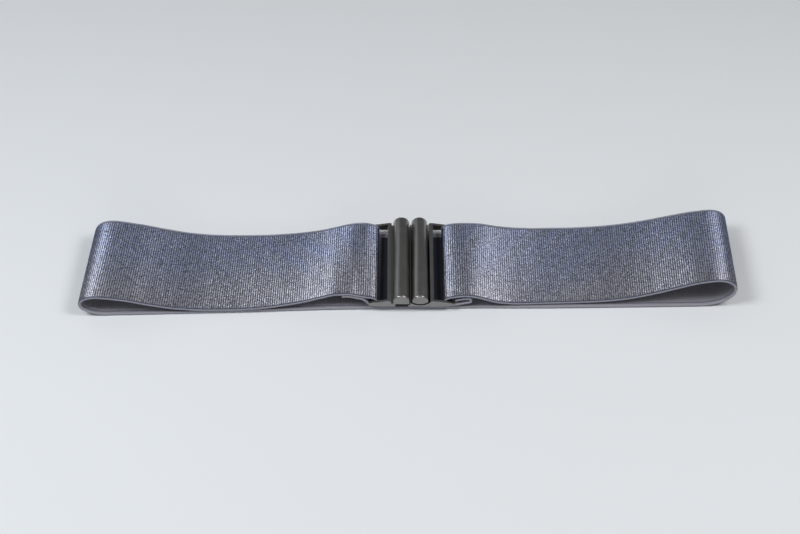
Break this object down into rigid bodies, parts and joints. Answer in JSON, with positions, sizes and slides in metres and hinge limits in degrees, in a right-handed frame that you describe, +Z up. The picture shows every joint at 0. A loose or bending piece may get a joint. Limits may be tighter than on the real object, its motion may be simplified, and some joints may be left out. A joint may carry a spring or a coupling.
{
  "type": "elastic stretch belt",
  "caption": "Wide ribbed elastic belt, buckled into a loop by an interlocking clasp with half-round face bars, lying flat.",
  "frame": {"origin": "on the table, at the middle of the belt's length and width as it lies", "axes": "+X along the belt towards its taller fold, +Y across the belt away from the viewer, +Z up"},
  "size_m": [0.3708, 0.0652, 0.0209],
  "materials": {
    "webbing": "ribbed satin elastic webbing, slate blue-grey, glossy outside and matt inside",
    "gunmetal": "polished black-nickel gunmetal plating on a zinc casting"
  },
  "bodies": {
    "root": {"elastic_band": "webbing", "left_clasp_half": "gunmetal", "right_clasp_half": "gunmetal", "right_face_bar": "gunmetal"}
  },
  "joints": []
}
